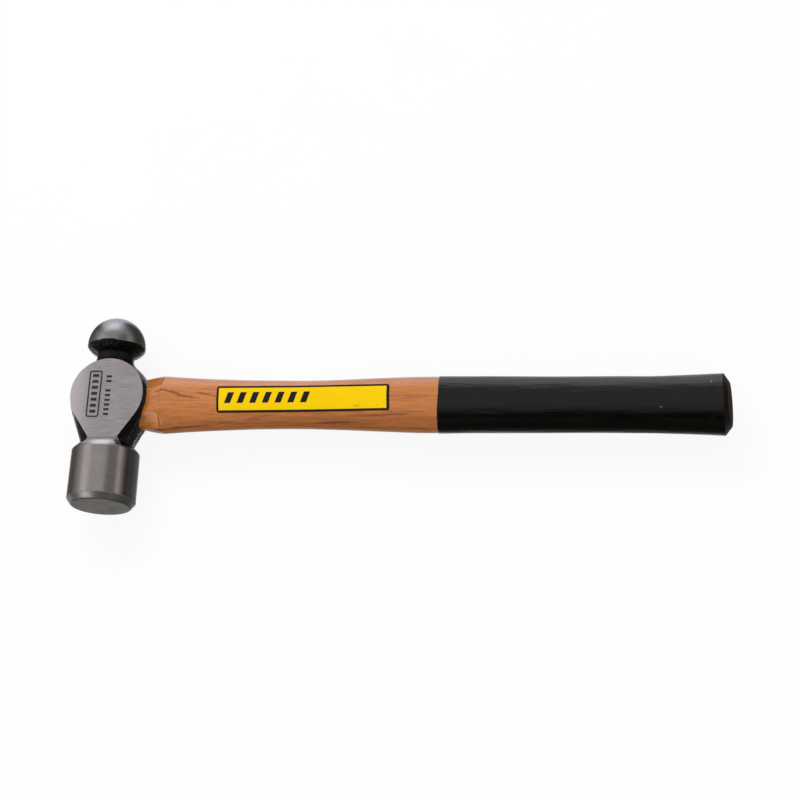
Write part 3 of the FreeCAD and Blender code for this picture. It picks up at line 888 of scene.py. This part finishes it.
def make_head(cheek, poll, face, rest):
    """The forging's own mesh, with a material for each way its surface is finished."""
    source = frame["nodes"]["hammer_head"]
    mesh = source.data.copy()
    mesh.materials.clear()
    for made in (rest, cheek, poll, face):
        mesh.materials.append(made)
    head = put_in_scene("forged_head", mesh)
    finish = [finish_of(polygon) for polygon in mesh.polygons]
    mesh.polygons.foreach_set("material_index", finish)
    # the grind's direction: straight over the cheeks, and round the axis elsewhere
    axis_x = MOUNTS["striking_face"].x - EYE.x
    layer = mesh.uv_layers.new(name="grind")
    for polygon in mesh.polygons:
        for loop in polygon.loop_indices:
            point = mesh.vertices[mesh.loops[loop].vertex_index].co - EYE
            across = point.x
            if finish[polygon.index] != CHEEKS:
                across = math.atan2(point.x - axis_x, point.z) * R
            layer.data[loop].uv = (point.y * GRIND_PER_METRE, across * GRIND_PER_METRE)
    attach(head, "root")
    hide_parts("hammer_head")


# The mark's places are in mm from the eye, (x from and to), (y from and to).
MARK_FRAME = (-8.3, -2.3), (-9.1, 12.7)
MARK_CORNER, MARK_LINE = 1.1, 0.68
BARS_X, BARS_Y, BAR_PITCH, BAR_WIDTH, BARS = (-6.7, -3.9), -7.1, 2.8, 1.35, 7
TICKS_X, TICKS_Y, TICK_PITCH, TICK_WIDTH = (-0.3, 2.1), -8.2, 2.2, 1.05
# There is a gap in the row of ticks.
TICKS = (0, 1, 2, 3, 4, 5, 7, 8)
BASE, TOP = CHEEK - 0.01 * MM, CHEEK + 0.03 * MM


def mark_block(x_range, y_range):
    """Points and faces of a rectangular block."""
    x0, x1 = (x * MM for x in x_range)
    y0, y1 = (y * MM for y in y_range)
    points = [(x, y, z) for z in (BASE, TOP) for x, y in ((x0, y0), (x1, y0), (x1, y1), (x0, y1))]
    sides = [(i, (i + 1) % 4, (i + 1) % 4 + 4, i + 4) for i in range(4)]
    return points, [(3, 2, 1, 0), (4, 5, 6, 7)] + sides


def mark_frame(x_range, y_range):
    """Points and faces of a closed line round a rectangle with rounded corners."""
    corner, line = MARK_CORNER * MM, MARK_LINE * MM
    x0, x1 = (x * MM for x in x_range)
    y0, y1 = (y * MM for y in y_range)
    centres = (
        (x1 - corner, y1 - corner, 0),
        (x0 + corner, y1 - corner, 90),
        (x0 + corner, y0 + corner, 180),
        (x1 - corner, y0 + corner, 270),
    )
    section = ((corner, TOP), (corner - line, TOP), (corner - line, BASE), (corner, BASE))
    points = []
    for cx, cy, turn in centres:
        for step in range(9):
            a = math.radians(turn + step * 11.25)
            points += [(cx + r * math.cos(a), cy + r * math.sin(a), z) for r, z in section]
    faces = []
    for here in range(0, len(points), 4):
        ahead = (here + 4) % len(points)
        for k in range(4):
            m = (k + 1) % 4
            faces.append((here + k, here + m, ahead + m, ahead + k))
    return points, faces


def make_mark(black):
    """A plain mark on the upper cheek: a frame round equal bars, and a row of ticks."""
    shapes = [mark_frame(*MARK_FRAME)]
    for i in range(BARS):
        y = BARS_Y + i * BAR_PITCH
        shapes.append(mark_block(BARS_X, (y, y + BAR_WIDTH)))
    for i in TICKS:
        y = TICKS_Y + i * TICK_PITCH
        shapes.append(mark_block(TICKS_X, (y, y + TICK_WIDTH)))
    points, faces = [], []
    for its_points, its_faces in shapes:
        faces += [tuple(len(points) + i for i in face) for face in its_faces]
        points += its_points
    mesh = bpy.data.meshes.new("cheek_mark")
    mesh.from_pydata([tuple(Vector(p) + EYE) for p in points], [], faces)
    mesh.materials.append(black)
    mark = put_in_scene("cheek_mark", mesh)
    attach(mark, "root")


def finish_wedges(wood, steel):
    """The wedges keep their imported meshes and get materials."""
    frame["nodes"]["wooden_wedge"].material_slots[0].material = wood
    for name in ("steel_wedge_ball_side", "steel_wedge_face_side"):
        frame["nodes"][name].material_slots[0].material = steel


# ---------------------------------------------------------------- light and camera

# What the gloss sees far off: azimuth from and to, measured from +Y towards +X, elevation
# from and to, width of the soft edge, all in degrees; then colour times strength.
REFLECTED = [
    ((-37, 6), (-100, 34), 6, (0.72, 0.75, 0.84)),  # tall bright wall behind
    ((-20, 18), (-3, 33), 9, (0.46, 0.46, 0.49)),  # its brightest part
    ((-94, -48), (27, 54), 6, (0.34, 0.32, 0.32)),  # soft box at the left
    ((-95, -50), (-48, 12), 6, (0.05, 0.045, 0.04)),  # dim wall under it
    ((-108, -38), (-100, -51), 6, (0.80, 0.81, 0.85)),  # lit table at the left
    ((-158, -131), (15, 35), 6, (0.85, 0.80, 0.76)),  # reflector at the left front
    ((-151, -134), (17, 28), 3, (2.5, 2.35, 2.2)),  # and the lamp in it
    ((-114, -96), (-42, -22), 5, (0.50, 0.47, 0.44)),  # low lamp at the left
    ((130, 176), (-6, 34), 8, (0.04, 0.04, 0.038)),  # dim wall at the right front
    ((140, 164), (4, 26), 5, (0.09, 0.08, 0.07)),  # and its lighter middle
    ((-60, 33), (60, 80), 4, (0.08, 0.07, 0.07)),  # lamp in the ceiling
    ((60, 100), (14, 26), 3, (0.22, 0.165, 0.14)),  # warm reflector at the right
    ((38, 90), (28, 63), 6, (-0.25, -0.26, -0.26)),  # dark panel at the right
    ((45, 100), (-14, 8), 4, (-0.02, -0.035, -0.045)),  # dark brown panel below it
    ((108, 252), (-100, 24), 8, (0.050, 0.048, 0.040)),  # dim table in front
    ((-155, -100), (-84, -50), 8, (0.13, 0.13, 0.13)),  # and its lighter left part
]


def make_world():
    """White to the camera, the studio to the gloss, and soft light from above to the rest."""
    world = bpy.data.worlds.new("studio")
    bpy.context.scene.world = world
    t = Tree(world)
    direction = t.add("TexCoord").outputs["Generated"]
    side, depth, height = t.add("SeparateXYZ", {"Vector": direction}).outputs
    azimuth = t.math("DEGREES", t.math("ARCTAN2", side, depth))
    elevation = t.math("DEGREES", t.math("ARCSINE", height))

    def window(value, low, high, soft):
        """1 between two angles and 0 outside them."""
        away = t.math("WRAP", t.math("SUBTRACT", value, (low + high) / 2), 180.0, -180.0)
        half = (high - low) / 2
        return t.smooth(t.math("ABSOLUTE", away), half - soft, half + soft, 1.0, 0.0)

    # the dim room, lighter above and darker in front
    walls = t.smooth(elevation, -14, 29, 0.07, 0.43)
    room = t.math("ADD", walls, t.smooth(elevation, -80, -25, 0.12, 0.0))
    room = t.math("MULTIPLY", room, t.smooth(depth, -0.42, -0.16, 0.07, 1.0))
    glossy = t.scaled((1, 1, 1), room)
    for across, up, soft, colour in REFLECTED:
        mask = t.math("MULTIPLY", window(azimuth, *across, soft), window(elevation, *up, soft))
        glossy = t.vector("ADD", glossy, t.scaled(colour, mask))
    glossy = t.vector("MAXIMUM", glossy, (0, 0, 0))
    # what lights the rest
    from_above = t.smooth(height, -0.3, 1.0, 0.30, 0.75)
    from_front = t.smooth(depth, -1.0, -0.1, 0.42, 0.0)
    soft_light = t.scaled((1.0, 0.99, 0.98), t.math("ADD", from_above, from_front))
    path = t.add("LightPath")
    seen = t.mix(path.outputs["Is Glossy Ray"], soft_light, glossy)
    seen = t.mix(path.outputs["Is Camera Ray"], seen, (1, 1, 1, 1))
    background = t.add("Background", {"Color": seen, "Strength": 1.0})
    t.add("OutputWorld", {"Surface": background})
    world.cycles.sampling_method = "NONE"


def make_key_light():
    """A soft box above and behind, which the gloss doesn't see."""
    light = bpy.data.lights.new("key", "AREA")
    light.shape = "RECTANGLE"
    light.size, light.size_y = 0.9, 0.5
    light.energy = 11
    light.color = (1, 0.98, 0.96)
    made = put_in_scene("key", light)
    made.location = EYE + Vector((-0.3, 0.9, 1.1))
    aim = EYE + Vector((0.1, 0, 0)) - made.location
    made.rotation_euler = aim.to_track_quat("-Z", "Y").to_euler()
    made.visible_glossy = False


def make_floor():
    """Pale and almost white to the camera, with a faint shadow; the gloss sees through it."""
    size = 6.0
    mesh = bpy.data.meshes.new("floor")
    corners = [(-size, -size, 0), (size, -size, 0), (size, size, 0), (-size, size, 0)]
    mesh.from_pydata(corners, [], [(0, 1, 2, 3)])
    floor = put_in_scene("floor", mesh)
    floor.location.z = -0.1 * MM
    made, t = material("floor")
    speck = t.noise(t.place((30, 30, 30)), 3)
    pale = t.add("BsdfDiffuse", {"Color": t.mix(speck, grey(0.46), grey(0.48))})
    faint = t.add("BsdfDiffuse", {"Color": t.mix(speck, grey(0.085), grey(0.095))})
    glow = t.add("Emission", {"Color": grey(1.0), "Strength": 0.90})
    seen = t.add("AddShader", {0: faint, 1: glow})
    path = t.add("LightPath").outputs
    solid = t.add("MixShader", {0: path["Is Camera Ray"], 1: pale, 2: seen})
    clear = t.add("BsdfTransparent")
    floor_shader = t.add("MixShader", {0: path["Is Glossy Ray"], 1: solid, 2: clear})
    t.add("OutputMaterial", {"Surface": floor_shader})
    mesh.materials.append(made)


# Where the camera is, in poll radii from the eye, and its turns, in radians
CAMERA_PLACE = Vector((20.337, -20.388, 60.0))
CAMERA_TURNS = ((0.1946219, "Y"), (0.3239415, "X"), (0.0611177, "Z"))


def make_camera():
    camera = bpy.data.cameras.new("camera")
    camera.lens, camera.sensor_width = 102.117, 36.0
    camera.clip_start, camera.clip_end = 0.05, 20.0
    made = put_in_scene("camera", camera)
    pose = Matrix.Translation(EYE + R * CAMERA_PLACE)
    for turn, axis in CAMERA_TURNS:
        pose = pose @ Matrix.Rotation(turn, 4, axis)
    made.matrix_world = pose
    bpy.context.scene.camera = made


# ---------------------------------------------------------------- build

make_camera()
make_world()
make_floor()
make_key_light()

make_head(ground_steel(), turned_steel(), face_steel(), ball_and_lacquer())
make_mark(mark_ink())
make_handle(hickory(), hickory(end_grain=True))
make_coating(black_dip())
make_label(label_film())
finish_wedges(sawn_wood(), wedge_steel())

bpy.context.scene.view_settings.view_transform = "Standard"
